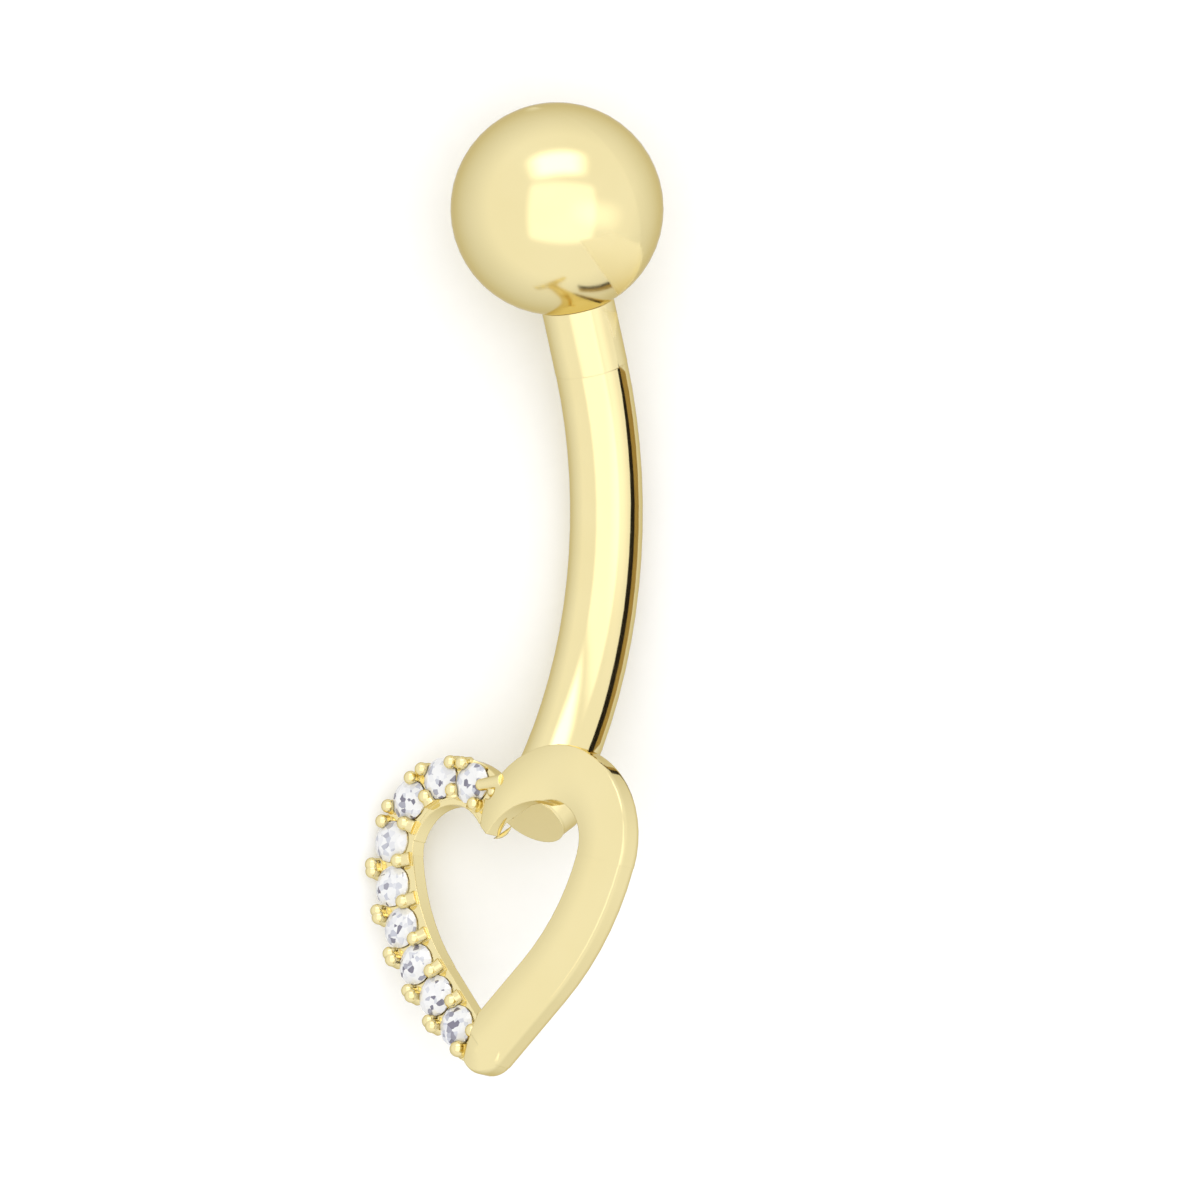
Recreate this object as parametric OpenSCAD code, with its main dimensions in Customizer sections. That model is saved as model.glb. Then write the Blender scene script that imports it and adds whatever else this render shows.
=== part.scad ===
// Navel ring: a curved bar with a ball that screws off and a soldered open heart.
// Lengths are in millimetres. The ring is drawn standing, front towards -Y, with the
// middle of the bar's bow at the origin, and is then laid down the way it rests.

/* [Bar] */
// Bar thickness, 14 gauge
bar_d = 1.63; // [1.2:0.01:2.4]
// Radius of the bar's bow, along its centreline
bow_r = 10.3; // [8:0.1:14]
// Bow below the middle, in degrees
bow_down = 41.5; // [20:0.5:60]
// Bow above the middle, in degrees
bow_up = 18.3; // [5:0.1:45]
// Straight run between the bow and the ball
straight_run = 1.47; // [0:0.01:5]

/* [Ball] */
// Ball diameter, 3/16 inch
ball_d = 4.76; // [3:0.01:8]
// Flat on the ball that the bar's shoulder meets
flat_d = 1.72; // [1.2:0.01:3]
// Post that the ball turns onto, as a plain rod
post_d = 1.2; // [0.8:0.01:1.6]
// Length of the post above the shoulder
post_len = 2.6; // [1.5:0.1:3.5]
// Radial clearance of the post in its bore
post_gap = 0.03; // [0.01:0.01:0.1]
// Gap between the shoulder and the ball
seat_gap = 0.02; // [0.01:0.01:0.1]

/* [Heart outline] */
// Distance of each lobe's centre from the middle
lobe_x = 1.61; // [1:0.01:3]
// Lobe radius, along the band's centreline
lobe_r = 1.61; // [1:0.01:3]
// How far a lobe turns past its widest point, in degrees
lobe_turn = 11.6; // [0:0.1:30]
// Radius of the lower side
side_r = 5.66; // [3:0.01:12]
// Slope of the straight run into the tip, in degrees from vertical
tip_slope = 43.6; // [35:0.1:55]
// Lean of the heart, top away from the viewer, in degrees
heart_lean = 9.3; // [0:0.1:20]
// Height of the lobe centres below the middle of the bow
heart_drop = 7.41; // [5:0.01:10]
// Distance of the lobe centres in front of the bow
heart_ahead = 3.6; // [2:0.01:6]

/* [Plain half] */
// Width of the band
band_w = 1.26; // [0.8:0.01:2]
// Sideways set of the plain half towards the middle
plain_set = 0.05; // [0:0.01:0.2]
// Front of the band ahead of the stones' girdles
band_front = 0.35; // [0:0.01:0.6]
// Back of the heart behind the stones' girdles
band_back = 0.42; // [0.3:0.01:0.8]
// Radius of the crowned front
crown_r = 1.9; // [1:0.1:6]
// Rounding of the outer edges
outer_round = 0.24; // [0.05:0.01:0.3]
// Rounding of the inner edges
inner_round = 0.1; // [0.02:0.01:0.2]

/* [Stone row] */
// Stone diameter
stone_d = 0.93; // [0.6:0.01:1.1]
// Spacing of the stones along the row
stone_pitch = 1.005; // [0.8:0.005:1.4]
// Where the row starts on the lobe, in degrees from its side
row_start = 68; // [50:1:90]
// Gap between a stone and its seat
stone_gap = 0.012; // [0.005:0.001:0.05]
// Rail width inside the row
rail_in = 0.58; // [0.4:0.01:0.8]
// Rail width outside the row
rail_out = 0.36; // [0.3:0.01:0.6]
// Front of the rail behind the girdles
rail_front = 0.05; // [0:0.01:0.2]
// Prong thickness
prong_d = 0.31; // [0.2:0.01:0.4]
// Distance of the inner prongs to the side of the row
prong_in = 0.3; // [0.2:0.01:0.4]
// Distance of the outer prongs to the side of the row
prong_out = 0.45; // [0.2:0.005:0.5]
// Top of a prong ahead of the girdles
prong_top = 0.25; // [0.1:0.01:0.4]

/* [Solder] */
// Thickness of the soldered collar at the bar's lower end
collar_d = 1.9; // [1.63:0.01:2.4]
// Height of the collar's widest point above the end face
collar_up = 0.45; // [0.2:0.01:1]

/* [Resting pose] */
// Turn about X, in degrees
rest_x = -85.38; // [-180:0.01:180]
// Turn about Y, in degrees
rest_y = -46.13; // [-180:0.01:180]
// Turn about Z, in degrees
rest_z = -3.33; // [-180:0.01:180]
// Shift that sets the object on the floor, centred
rest_shift = [2.1171, 1.8327, 0.8365];

/* [Hidden] */
$fn = 64;

gold = [0.93, 0.85, 0.55];
clear = [0.93, 0.95, 0.98];

flat_at = sqrt(pow(ball_d / 2, 2) - pow(flat_d / 2, 2));
seat_at = straight_run + seat_gap + flat_at;
side_shift = side_r - lobe_r;
side_c = [side_shift * cos(lobe_turn) - lobe_x, side_shift * sin(lobe_turn)];
tip_run = (side_r * sin(90 - tip_slope) - side_c[0]) / sin(tip_slope);
// How far the rounded tip stops short of the middle, along the band.
tip_stop = 0.48;
// Where the plain half ends at the notch, and the rail at the other side of it.
notch_end = 177;
rail_start = 25;
// Step that keeps neighbouring surfaces from coinciding.
hair = 0.006;
// Proportions of a round cut.
table_r = 0.57 * stone_d / 2;
crown = 0.14 * stone_d;
girdle = 0.03 * stone_d;
pavilion = 0.37 * stone_d;
lobe_len = (180 + lobe_turn - row_start) * PI / 180 * lobe_r;
side_len = (tip_slope - lobe_turn) * PI / 180 * side_r;

// Angle of the outward normal at a distance along the stone row.
function row_angle(s) =
  s < lobe_len ? row_start + s / lobe_r * 180 / PI
  : 180 + min(tip_slope, lobe_turn + (s - lobe_len) / side_r * 180 / PI);

// Point of the stone row at a distance along it, moved sideways by off.
function row_point(s, off = 0) =
  let (a = row_angle(s), n = [cos(a), sin(a)], t = [-sin(a), cos(a)],
       rest = max(0, s - lobe_len - side_len))
  s < lobe_len ? [-lobe_x, 0] + (lobe_r + off) * n
  : side_c + (side_r + off) * n + rest * t;

// Place of the k-th stone, or of a prong between two: the row spreads a little in
// its middle, and bows outwards there.
function along(k) = stone_pitch * (k + 0.08 * sin(22.5 * k));
function aside(k) = 0.15 * sin(22.5 * (max(k, 0) - 0.8)) - 0.08;
function spot(k, off = 0) = row_point(along(k), aside(k) + off);

module standing() {
  translate([0, -heart_ahead, -heart_drop])
    rotate([-heart_lean, 0, 0])
      rotate([90, 0, 0])
        children();
}

module at_rest() {
  translate(rest_shift)
    rotate([rest_x, rest_y, rest_z])
      children();
}

// Section of the plain half: x across the band, y towards its front.
module band_section(grow = 0) {
  w = band_w / 2 + grow;
  b = band_back + grow;
  f = band_front + grow;
  o = outer_round;
  i = inner_round;
  intersection() {
    union() {
      translate([-w + i, -b]) square([2 * w - i - o, f + b]);
      translate([-w, -b + i]) square([i, f + b - 2 * i]);
      translate([w - o, -b + o]) square([o, f + b - 2 * o]);
      translate([-w + i, -b + i]) circle(r = i);
      translate([-w + i, f - i]) circle(r = i);
      translate([w - o, -b + o]) circle(r = o);
      translate([w - o, f - o]) circle(r = o);
    }
    translate([-0.1, f - crown_r]) circle(r = crown_r);
  }
}

// Half section of a rounded end, a hair smaller than the band it closes.
module end_section() {
  w = band_w / 2 - hair;
  b = band_back - hair;
  f = band_front - hair;
  o = outer_round;
  intersection() {
    union() {
      translate([0, -b]) square([w - o, f + b]);
      translate([0, -b + o]) square([w, f + b - 2 * o]);
      translate([w - o, -b + o]) circle(r = o);
      translate([w - o, f - o]) circle(r = o);
    }
    translate([0, f - crown_r]) circle(r = crown_r);
    translate([0, -2]) square([2, 4]);
  }
}

module plain_half() {
  difference() {
    translate([-plain_set, 0, 0]) {
      translate([lobe_x, 0, 0])
        rotate([0, 0, -lobe_turn - 1])
          rotate_extrude(angle = notch_end + lobe_turn + 1)
            translate([lobe_r, 0]) band_section(hair);
      translate([-side_c[0], side_c[1], 0])
        rotate([0, 0, -tip_slope]) {
          rotate_extrude(angle = tip_slope - lobe_turn)
            translate([side_r, 0]) band_section();
          translate([side_r, 0, 0])
            rotate([90, 0, 0])
              linear_extrude(tip_run - tip_stop) band_section();
          translate([side_r, tip_stop - tip_run, 0])
            rotate_extrude() end_section();
        }
    }
    // The lobe runs out in a point between the two openings.
    translate([1.237, -0.666, -1])
      intersection() {
        cylinder(r = 1.616, h = 2);
        translate([-1.8, 0.3, 0]) cube([2.3, 2, 2]);
      }
    translate([-0.15, 0.168, -1])
      rotate([0, 0, -39.2])
        translate([-1.2, -1, 0]) cube([2.2, 1, 2]);
    translate([-0.6, -0.3, -1]) cube([0.8, 0.487, 2]);
    behind_point();
    // The front steps down to the stone row at the notch and at the tip.
    translate([-1.41, -0.2, -rail_front - 0.06]) cube([1, 1.4, 1]);
    translate([0.097, -3.878, -rail_front - 0.03])
      rotate([0, 0, -15.3])
        translate([-1, -1.4, 0]) cube([1, 2, 1]);
    translate([-0.303, 1.18, 0.08]) cylinder(r = 0.2, h = 1);
  }
}

// Room cut behind the point of the notch, where the bar's end shows.
module behind_point() {
  translate([0.058, 0.452, 0])
    rotate([120.4, 0, 30.5])
      translate([-1.2, -1.6, 0]) cube([2.29, 1.6, 1.5]);
}

// Section of the rail under the stones.
module rail_section(grow = 0) {
  translate([-rail_in - grow, -band_back - grow])
    square([rail_in + rail_out + 2 * grow, band_back - rail_front + 2 * grow]);
}

module rail() {
  difference() {
    translate([-lobe_x, 0, 0]) {
      rotate([0, 0, rail_start])
        rotate_extrude(angle = 181 + lobe_turn - rail_start)
          translate([lobe_r, 0]) rail_section(hair);
      rotate([0, 0, rail_start])
        translate([lobe_r - 0.1, 0, -band_back])
          cylinder(r = 0.5, h = band_back - rail_front - hair);
      // The lobe's opening is smaller and set lower than the row.
      difference() {
        rotate([0, 0, rail_start])
          rotate_extrude(angle = 150)
            translate([lobe_r - rail_in - 0.22, -band_back])
              square([0.4, band_back - rail_front]);
        translate([0.02, -0.14, -1]) cylinder(r = 1.04, h = 2);
      }
    }
    translate([-0.73, 0.5, -1])
      rotate([0, 0, -38.8])
        translate([0, -1, 0]) cube([1.5, 1, 2]);
    behind_point();
  }
  difference() {
    union() {
      translate([side_c[0], side_c[1], 0])
        rotate([0, 0, 180 + lobe_turn])
          rotate_extrude(angle = tip_slope - lobe_turn)
            translate([side_r, 0]) rail_section();
      translate([side_c[0], side_c[1], 0])
        rotate([0, 0, 180 + tip_slope])
          translate([side_r, tip_run - 0.1, 0])
            rotate([90, 0, 0])
              linear_extrude(tip_run) rail_section(-hair);
    }
    translate([-0.731, -4.765, -1])
      rotate([0, 0, -20.9])
        translate([-0.6, -1, 0]) cube([2.2, 1, 2]);
  }
}

module prong(p, d = prong_d) {
  translate([p[0], p[1], -rail_front - 0.1]) {
    cylinder(r1 = d / 2 + 0.03, r2 = d / 2 - 0.02, h = prong_top + rail_front);
    translate([0, 0, prong_top + rail_front - 0.06]) sphere(r = d / 2 + 0.005);
  }
}

// Inner prong: a bead with a finger that slopes down to the rail's inner edge.
module inner_prong(k) {
  prong(spot(k, -prong_in));
  translate(spot(k, -prong_in))
    rotate([0, 0, row_angle(along(k))])
      translate([0, 0, 0.06])
        rotate([0, -112, 0])
          cylinder(r1 = prong_d / 2 - 0.02, r2 = prong_d / 2 + 0.01, h = 0.24 + aside(k));
}

// Outer prong: two beads side by side, run together or a little apart.
module outer_prong(k) {
  apart = k < 3 ? 0.15 : 0.075;
  out = k < 3 ? 0.33 : prong_out;
  for (e = [-apart, apart])
    prong(row_point(along(k) + e, aside(k) + out), prong_d - 0.01);
}

module prongs() {
  for (k = [0:9]) inner_prong(k - 0.5);
  for (k = [1:8]) outer_prong(k - 0.5);
  prong(spot(8.55, 0.25), 0.36);
  prong([-0.303, 1.18], 0.27);
}

// Room for one stone and its tool, with the stone's axis towards the front.
module seat() {
  r = stone_d / 2 + stone_gap;
  t = table_r + stone_gap;
  rotate_extrude()
    polygon([
      [0, -pavilion - 2 * stone_gap], [0.12, -pavilion - stone_gap],
      [r, -stone_gap - girdle], [r, stone_gap], [t, crown + stone_gap],
      [t, crown + 0.3], [0, crown + 0.3]
    ]);
}

module stone_half() {
  difference() {
    union() {
      difference() {
        rail();
        for (k = [0:8])
          translate(spot(k)) {
            translate([0, 0, -1]) cylinder(r = 0.17, h = 1);
            rotate([0, 0, row_angle(along(k))])
              translate([0, 0, 0.26])
                rotate([0, 90, 0]) cylinder(r = 0.4, h = 1);
          }
      }
      prongs();
      first_prong();
    }
    for (k = [0:8]) translate(spot(k)) seat();
  }
}

module bar() {
  translate([0, -bow_r, 0])
    rotate([90, 0, 90])
      rotate([0, 0, -bow_down]) {
        rotate_extrude(angle = bow_down + bow_up)
          translate([bow_r, 0]) circle(d = bar_d);
        translate([bow_r, 0.02, 0])
          rotate([-90, 0, 0]) {
            cylinder(d1 = bar_d - 0.04, d2 = collar_d, h = collar_up);
            translate([0, 0, collar_up])
              cylinder(d1 = collar_d, d2 = bar_d - 0.04, h = 0.6);
          }
      }
  translate([0, -bow_r, 0])
    rotate([bow_up, 0, 0])
      translate([0, bow_r, 0]) {
        translate([0, 0, -0.02])
          cylinder(d = bar_d + 2 * hair, h = straight_run + 0.02);
        translate([0, 0, straight_run - 0.1])
          cylinder(d = post_d, h = post_len);
        translate([0, 0, straight_run + post_len - 0.1])
          cylinder(d1 = post_d, d2 = post_d - 0.2, h = 0.1);
      }
}

module metal() {
  bar();
  standing() {
    plain_half();
    stone_half();
  }
}

// Prong that the plain half's end lays over the first stone.
module first_prong() {
  translate([0.03, 1.403, 0.18])
    rotate([0, 0, 187.9])
      rotate([0, 90, 0]) {
        cylinder(r1 = 0.17, r2 = 0.135, h = 0.63);
        translate([0, 0, 0.63]) sphere(r = 0.14);
      }
}

module ball() {
  translate([0, -bow_r, 0])
    rotate([bow_up, 0, 0])
      translate([0, bow_r, seat_at])
        difference() {
          sphere(d = ball_d);
          translate([-2, -2, -ball_d]) cube([4, 4, ball_d - flat_at]);
          translate([0, 0, -flat_at - 1])
            cylinder(r = post_d / 2 + post_gap, h = 1 + post_len + 0.25);
        }
}

// Round cut with a table, kite and star facets in front and a pointed back.
module stone(k) {
  r = stone_d / 2;
  rs = (table_r * cos(22.5) + r) / 2;
  hs = crown * (r - rs * cos(22.5)) / (r - table_r);
  rp = 0.25 * r;
  hp = -girdle - pavilion * (1 - rp * cos(22.5) / r);
  ring = [for (i = [0:7]) i];
  points = concat(
    [for (i = ring) [table_r * cos(45 * i), table_r * sin(45 * i), crown]],
    [for (i = ring) [rs * cos(45 * i + 22.5), rs * sin(45 * i + 22.5), hs]],
    [for (i = [0:15]) [r * cos(22.5 * i), r * sin(22.5 * i), 0]],
    [for (i = [0:15]) [r * cos(22.5 * i), r * sin(22.5 * i), -girdle]],
    [for (i = ring) [rp * cos(45 * i + 22.5), rp * sin(45 * i + 22.5), hp]],
    [[0, 0, -girdle - pavilion]]
  );
  faces = concat(
    [[for (i = ring) 7 - i]],
    [for (i = ring) [i, (i + 1) % 8, 8 + i]],
    [for (i = ring) [i, 8 + i, 16 + 2 * i]],
    [for (i = ring) [i, 16 + 2 * i, 8 + (i + 7) % 8]],
    [for (i = ring) [8 + i, 17 + 2 * i, 16 + 2 * i]],
    [for (i = ring) [8 + i, 16 + (2 * i + 2) % 16, 17 + 2 * i]],
    [for (i = [0:15]) [16 + i, 16 + (i + 1) % 16, 32 + (i + 1) % 16, 32 + i]],
    [for (i = ring) [48 + i, 32 + 2 * i, 33 + 2 * i]],
    [for (i = ring) [48 + i, 33 + 2 * i, 32 + (2 * i + 2) % 16]],
    [for (i = ring) [56, 48 + (i + 7) % 8, 32 + 2 * i]],
    [for (i = ring) [56, 32 + 2 * i, 48 + i]]
  );
  standing()
    translate(spot(k - 1))
      rotate([0, 0, row_angle(along(k - 1))])
        polyhedron(points, faces);
}

at_rest() color(gold) metal();  // bar_and_heart
at_rest() color(gold) ball();
at_rest() color(clear) stone(1);  // stone_1
at_rest() color(clear) stone(2);  // stone_2
at_rest() color(clear) stone(3);  // stone_3
at_rest() color(clear) stone(4);  // stone_4
at_rest() color(clear) stone(5);  // stone_5
at_rest() color(clear) stone(6);  // stone_6
at_rest() color(clear) stone(7);  // stone_7
at_rest() color(clear) stone(8);  // stone_8
at_rest() color(clear) stone(9);  // stone_9
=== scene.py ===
"""Navel ring in polished yellow gold, lying on a pale floor: looks, light and camera."""

import bpy
from mathutils import Matrix, Vector

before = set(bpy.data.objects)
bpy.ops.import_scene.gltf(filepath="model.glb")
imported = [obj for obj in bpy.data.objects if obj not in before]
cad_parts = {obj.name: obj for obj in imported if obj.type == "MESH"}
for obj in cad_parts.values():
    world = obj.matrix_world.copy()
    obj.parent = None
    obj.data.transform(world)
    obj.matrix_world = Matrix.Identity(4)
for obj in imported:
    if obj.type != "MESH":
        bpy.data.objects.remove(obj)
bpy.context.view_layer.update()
scene = bpy.context.scene
MM = 0.001

# The photograph looks down on the ring, level with the way it is worn. Distances to the
# right, up and out of the picture are taken from the top of the bar's bow.
TO_CAMERA = Vector((-0.09277, -0.05559, 0.99413)).normalized()
PICTURE_UP = Vector((-0.00007, 0.99844, 0.05582)).normalized()
PICTURE_RIGHT = PICTURE_UP.cross(TO_CAMERA).normalized()
BOW_TOP = Vector((2.1171, 1.8327, 0.8365)) * MM
PHOTO_CENTRE = (-0.145, -1.964)
PHOTO_WIDE = 26.79
CAMERA_AWAY = 1000.0
SENSOR = 36.0

# Centre of the bar's lower end face, and the way it faces.
END_AT = Vector((0.251, -5.082, 2.242)) * MM
END_FACES = Vector((-0.4784, -0.7734, 0.4159))


def linear(code):
    """An sRGB hex colour as linear RGBA."""
    parts = [int(code[i : i + 2], 16) / 255 for i in (1, 3, 5)]
    return tuple(
        c / 12.92 if c <= 0.04045 else ((c + 0.055) / 1.055) ** 2.4 for c in parts
    ) + (1.0,)


def add(tree, kind, sockets=None, **settings):
    """Adds a node with its settings; a socket given as a value is linked."""
    made = tree.nodes.new(kind)
    for name, value in settings.items():
        setattr(made, name, value)
    for name, value in (sockets or {}).items():
        if isinstance(value, bpy.types.NodeSocket):
            tree.links.new(value, made.inputs[name])
        else:
            made.inputs[name].default_value = value
    return made


def new_material(name):
    material = bpy.data.materials.new(name)
    material.use_nodes = True
    material.node_tree.nodes.clear()
    return material, material.node_tree


def place(right, up, out):
    """A point by its distances in millimetres from the top of the bow, as the picture has them."""
    return BOW_TOP + (PICTURE_RIGHT * right + PICTURE_UP * up + TO_CAMERA * out) * MM


def polished_gold(name, least, most):
    """Yellow gold, 14 karat, buffed to a mirror: soft-edged reflections, faint buffing lines."""
    material, tree = new_material(name)
    where = add(tree, "ShaderNodeTexCoord").outputs["Object"]
    haze = add(
        tree, "ShaderNodeTexNoise",
        {"Vector": where, "Scale": 1 / (1.5 * MM), "Detail": 3.0, "Roughness": 0.5},
    )
    gloss = add(
        tree, "ShaderNodeMapRange",
        {"Value": haze.outputs["Fac"], "From Min": 0.3, "From Max": 0.7,
         "To Min": least, "To Max": most},
    )
    tone = add(
        tree, "ShaderNodeMix",
        {"Factor": haze.outputs["Fac"], "A": linear("#EADBA4"), "B": linear("#EFE1AE")},
        data_type="RGBA",
    )
    # The bar's end face is only brushed: rougher, with fine lines across it.
    off = add(tree, "ShaderNodeVectorMath", {0: where, 1: END_AT}, operation="DISTANCE")
    near = add(
        tree, "ShaderNodeMath", {0: off.outputs["Value"], 1: 0.83 * MM}, operation="LESS_THAN"
    )
    facing = add(
        tree, "ShaderNodeVectorMath",
        {0: add(tree, "ShaderNodeNewGeometry").outputs["True Normal"], 1: END_FACES},
        operation="DOT_PRODUCT",
    )
    flat = add(
        tree, "ShaderNodeMath", {0: facing.outputs["Value"], 1: 0.99}, operation="GREATER_THAN"
    )
    brushed = add(
        tree, "ShaderNodeMath", {0: near.outputs[0], 1: flat.outputs[0]}, operation="MULTIPLY"
    ).outputs[0]
    rough = add(
        tree, "ShaderNodeMath", {0: brushed, 1: 0.3, 2: gloss.outputs["Result"]},
        operation="MULTIPLY_ADD",
    )
    drawn = add(
        tree, "ShaderNodeMapping",
        {"Vector": where, "Rotation": (0.0, 0.0, 0.5), "Scale": (1.0, 9.0, 9.0)},
    )
    strokes = add(
        tree, "ShaderNodeTexNoise",
        {"Vector": drawn.outputs["Vector"], "Scale": 1 / (0.6 * MM), "Detail": 3.0},
    )
    # Real buffing lines are too fine for the picture; these are a few times as coarse.
    buffed = add(
        tree, "ShaderNodeTexNoise",
        {"Vector": where, "Scale": 1 / (0.09 * MM), "Detail": 2.0, "Roughness": 0.6},
    )
    brush = add(
        tree, "ShaderNodeMath", {0: strokes.outputs["Fac"], 1: 60.0}, operation="MULTIPLY"
    )
    lines = add(
        tree, "ShaderNodeMix",
        {"Factor": brushed, "A": buffed.outputs["Fac"], "B": brush.outputs[0]},
    )
    round_edge = add(tree, "ShaderNodeBevel", {"Radius": 0.04 * MM}, samples=6)
    bump = add(
        tree, "ShaderNodeBump",
        {"Height": lines.outputs["Result"], "Distance": 0.002 * MM, "Strength": 0.06,
         "Normal": round_edge.outputs["Normal"]},
    )
    gold = add(
        tree, "ShaderNodeBsdfPrincipled",
        {"Base Color": tone.outputs["Result"], "Metallic": 1.0,
         "Specular Tint": linear("#F3E6BE"),
         "Roughness": rough.outputs[0], "Normal": bump.outputs["Normal"]},
    )
    add(tree, "ShaderNodeOutputMaterial", {"Surface": gold.outputs["BSDF"]})
    return material


def clear_stone():
    """Cubic zirconia, cut and polished: white and glassy, with grey and violet glints painted into
    its colour.
    """
    material, tree = new_material("cubic_zirconia_painted_glints")
    where = add(tree, "ShaderNodeTexCoord").outputs["Object"]
    # Painted reflections: each cell's colour stands for what one back facet shows through the
    # front.
    cells = add(
        tree, "ShaderNodeTexVoronoi", {"Vector": where, "Scale": 1 / (0.12 * MM)},
    )
    which = add(tree, "ShaderNodeSeparateColor", {"Color": cells.outputs["Color"]})
    # Painted glints: the ramp turns the cells into dark violet, light grey and white base colour.
    painted_glint = add(tree, "ShaderNodeValToRGB", {"Fac": which.outputs["Red"]})
    ramp = painted_glint.color_ramp
    ramp.interpolation = "LINEAR"
    ramp.elements[0].position, ramp.elements[0].color = 0.05, linear("#66617A")
    ramp.elements[1].position, ramp.elements[1].color = 0.4, linear("#FFFFFF")
    middle = ramp.elements.new(0.15)
    middle.color = linear("#D2D5E2")
    stone = add(
        tree, "ShaderNodeBsdfPrincipled",
        {"Base Color": painted_glint.outputs["Color"], "Roughness": 0.02, "IOR": 2.17,
         "Transmission Weight": 0.25},
    )
    add(tree, "ShaderNodeOutputMaterial", {"Surface": stone.outputs["BSDF"]})
    return material


def pale_floor():
    """White acrylic sheet, fine satin: bright, with only a soft shadow."""
    material, tree = new_material("white_acrylic_satin")
    where = add(tree, "ShaderNodeTexCoord").outputs["Object"]
    grain = add(
        tree, "ShaderNodeTexNoise", {"Vector": where, "Scale": 1 / (0.6 * MM), "Detail": 2.0}
    )
    tone = add(
        tree, "ShaderNodeMix",
        {"Factor": grain.outputs["Fac"], "A": linear("#FBFBFB"), "B": linear("#FFFFFF")},
        data_type="RGBA",
    )
    sheet = add(
        tree, "ShaderNodeBsdfPrincipled",
        {"Base Color": tone.outputs["Result"], "Roughness": 0.6, "Specular IOR Level": 0.2},
    )
    add(tree, "ShaderNodeOutputMaterial", {"Surface": sheet.outputs["BSDF"]})
    return material


def card(name, shade):
    """Matt studio card, seen only as a band in the polished gold."""
    material, tree = new_material(name)
    board = add(
        tree, "ShaderNodeBsdfPrincipled", {"Base Color": linear(shade), "Roughness": 0.9}
    )
    add(tree, "ShaderNodeOutputMaterial", {"Surface": board.outputs["BSDF"]})
    return material


def sheet_of(name, corners, faces, material):
    """A flat-faced stage sheet, which isn't part of the object."""
    mesh = bpy.data.meshes.new(name)
    mesh.from_pydata(corners, [], faces)
    made = bpy.data.objects.new(name, mesh)
    scene.collection.objects.link(made)
    mesh.materials.append(material)
    return made


def soft_box(name, at, towards, wide, high, strength, edge):
    """A glowing panel that fades over a share of its size, unseen by the camera itself."""
    material, tree = new_material(name + "_glow")
    where = add(tree, "ShaderNodeTexCoord").outputs["Object"]
    axes = add(tree, "ShaderNodeSeparateXYZ", {"Vector": where})
    fade = strength
    for axis, size in (("X", wide), ("Y", high)):
        away = add(tree, "ShaderNodeMath", {0: axes.outputs[axis]}, operation="ABSOLUTE")
        part = add(
            tree, "ShaderNodeMapRange",
            {"Value": away.outputs[0], "From Min": size * MM * (0.5 - edge),
             "From Max": size * MM * 0.5, "To Min": 1.0, "To Max": 0.0},
            interpolation_type="SMOOTHSTEP",
        )
        fade = add(
            tree, "ShaderNodeMath", {0: part.outputs["Result"], 1: fade}, operation="MULTIPLY"
        ).outputs[0]
    glow = add(tree, "ShaderNodeEmission", {"Color": linear("#FFFFFF"), "Strength": fade})
    clear = add(tree, "ShaderNodeBsdfTransparent")
    both = add(
        tree, "ShaderNodeAddShader",
        {0: glow.outputs["Emission"], 1: clear.outputs["BSDF"]},
    )
    add(tree, "ShaderNodeOutputMaterial", {"Surface": both.outputs["Shader"]})
    w, h = wide * MM / 2, high * MM / 2
    corners = [(-w, -h, 0), (w, -h, 0), (w, h, 0), (-w, h, 0)]
    made = sheet_of(name, corners, [(0, 1, 2, 3)], material)
    made.location = at
    made.rotation_mode = "QUATERNION"
    made.rotation_quaternion = (towards - at).to_track_quat("-Z", "Y")
    made.visible_camera = False
    made.visible_shadow = False
    return made


def aim_camera():
    """The photograph's view: level with the ring as it is worn, from far away."""
    data = bpy.data.cameras.new("camera")
    data.sensor_width = SENSOR
    data.lens = SENSOR * CAMERA_AWAY / PHOTO_WIDE
    data.clip_start, data.clip_end = 0.05, 5.0
    camera = bpy.data.objects.new("camera", data)
    scene.collection.objects.link(camera)
    turn = Matrix((PICTURE_RIGHT, PICTURE_UP, TO_CAMERA)).transposed()
    at = place(*PHOTO_CENTRE, CAMERA_AWAY)
    camera.matrix_world = Matrix.Translation(at) @ turn.to_4x4()
    scene.camera = camera


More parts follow.
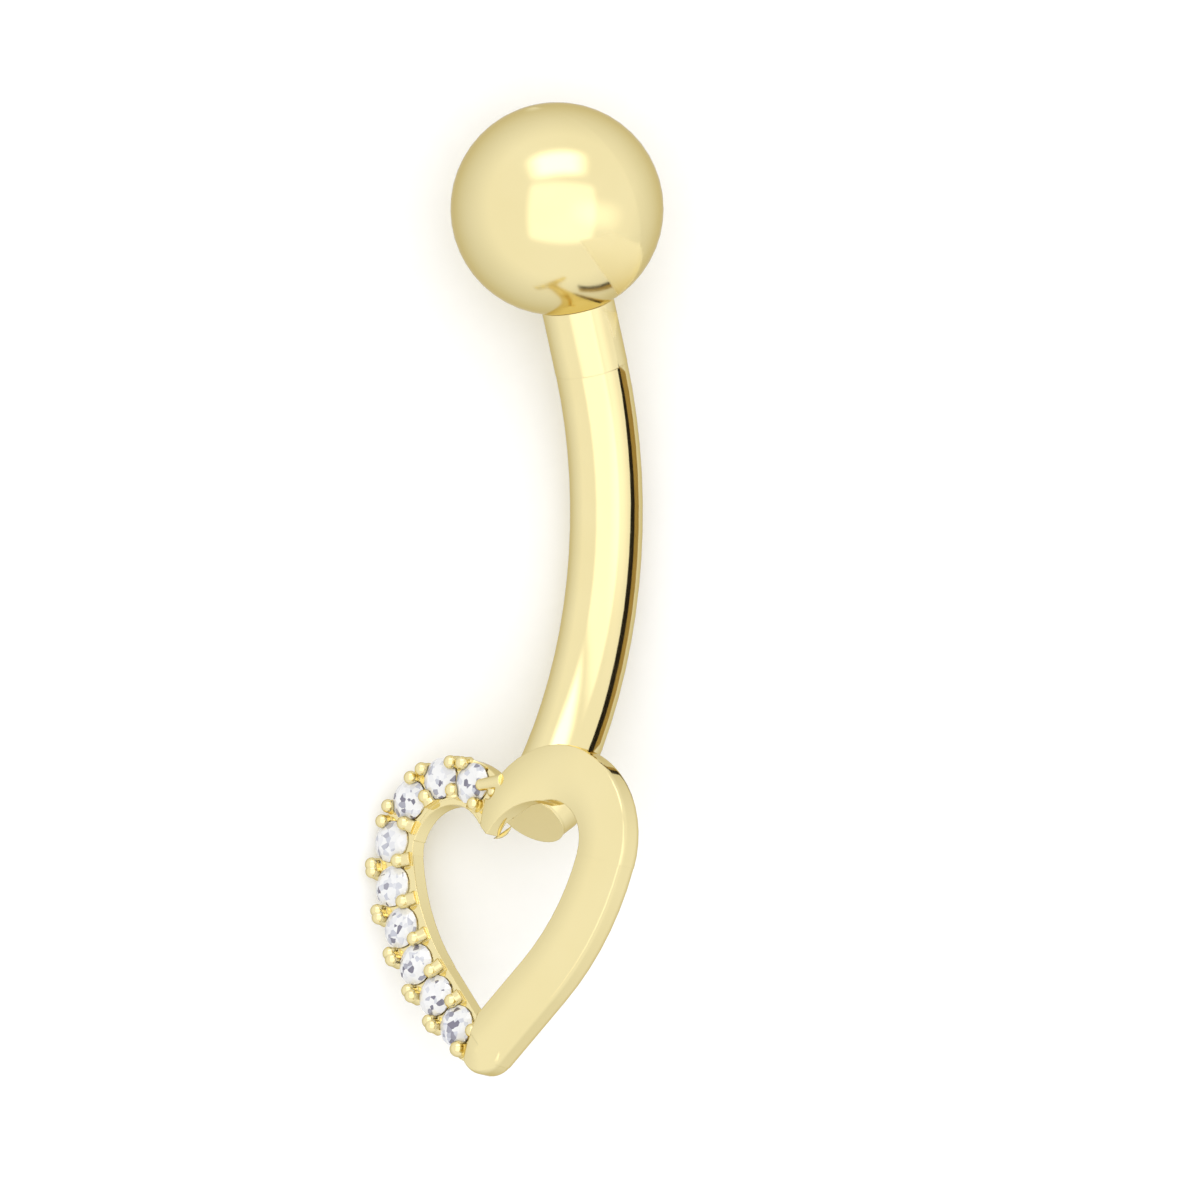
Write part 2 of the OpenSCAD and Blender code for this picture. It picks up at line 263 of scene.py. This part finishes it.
def light_stage():
    """A white tent: even light all round, brighter panels, a dark strip beside the bar."""
    world = bpy.data.worlds.new("studio")
    scene.world = world
    world.use_nodes = True
    tree = world.node_tree
    tree.nodes.clear()
    # A little darker below the horizon, so that the gold's sides stand off the floor.
    height = add(
        tree, "ShaderNodeSeparateXYZ",
        {"Vector": add(tree, "ShaderNodeTexCoord").outputs["Generated"]},
    )
    level = add(
        tree, "ShaderNodeMapRange",
        {"Value": height.outputs["Z"], "From Min": -0.95, "From Max": 0.1,
         "To Min": 0.72, "To Max": 1.06},
    )
    around = add(
        tree, "ShaderNodeBackground",
        {"Color": linear("#FFFFFF"), "Strength": level.outputs["Result"]},
    )
    add(tree, "ShaderNodeOutputWorld", {"Surface": around.outputs["Background"]})
    middle = place(0, 0, 2)
    # These show in the gold and the stones only; the floor has its light from all round.
    for lamp in (
        soft_box("light_above", place(0, 125, 100), middle, 210, 110, 1.2, 0.35),
        soft_box("light_front", place(15, -10, 170), middle, 300, 260, 0.42, 0.15),
        soft_box("light_right", place(110, -10, 110), middle, 110, 240, 0.3, 0.45),
    ):
        lamp.visible_diffuse = False
    fill = soft_box("light_fill", place(0, 0, 200), middle, 400, 400, 0.32, 0.1)
    fill.visible_glossy = fill.visible_transmission = False
    half = 0.6
    floor = sheet_of(
        "floor",
        [(-half, -half, 0), (half, -half, 0), (half, half, 0), (-half, half, 0)],
        [(0, 1, 2, 3)],
        pale_floor(),
    )
    floor.visible_glossy = False
    # The dark strip follows the bow of the bar, beside it, and is seen only in the gold.
    # Each entry says how far up it is, and how far out its upper and lower edges are.
    beside, floor_out = 2.3, -0.75
    line = [(-5.6, 1.85, 0.7), (-4.4, 1.4, 0.4), (-2.1, 1.0, 0.2), (0.36, 0.8, 0.15),
            (2.6, 0.88, 0.35), (3.3, 0.95, 0.5)]
    faces = [(2 * i, 2 * i + 1, 2 * i + 3, 2 * i + 2) for i in range(len(line) - 1)]
    strip = sheet_of(
        "card_strip",
        [place(beside, up, out) for up, high, low in line for out in (high, low)], faces,
        card("card_dark_matt", "#140C04"),
    )
    under = sheet_of(
        "card_under",
        [place(beside, up, out) for up, high, low in line for out in (low, floor_out)], faces,
        card("card_brown_matt", "#B39A62"),
    )
    # A white card under the ball covers part of the dark one in its reflection.
    screen = sheet_of(
        "card_screen",
        [place(right, up, out) for right, up, out in
         ((0.5, 4.5, 5.5), (5.0, 4.1, 5.5), (5.0, 4.1, floor_out), (0.5, 4.5, floor_out))],
        [(0, 1, 2, 3)],
        card("card_white_matt", "#FFFFFF"),
    )
    for made in (strip, under, screen):
        made.visible_camera = made.visible_shadow = made.visible_diffuse = False


def dress():
    """Gives each CAD node its material; the meshes stay as they are."""
    bar = polished_gold("gold_14_karat_polished", 0.06, 0.12)
    ball = polished_gold("gold_14_karat_ball", 0.1, 0.15)
    stone = clear_stone()
    for name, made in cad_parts.items():
        look = stone if name.startswith("stone_") else ball if name == "ball" else bar
        made.data.materials[0] = look


aim_camera()
light_stage()
dress()
scene.view_settings.view_transform = "Standard"
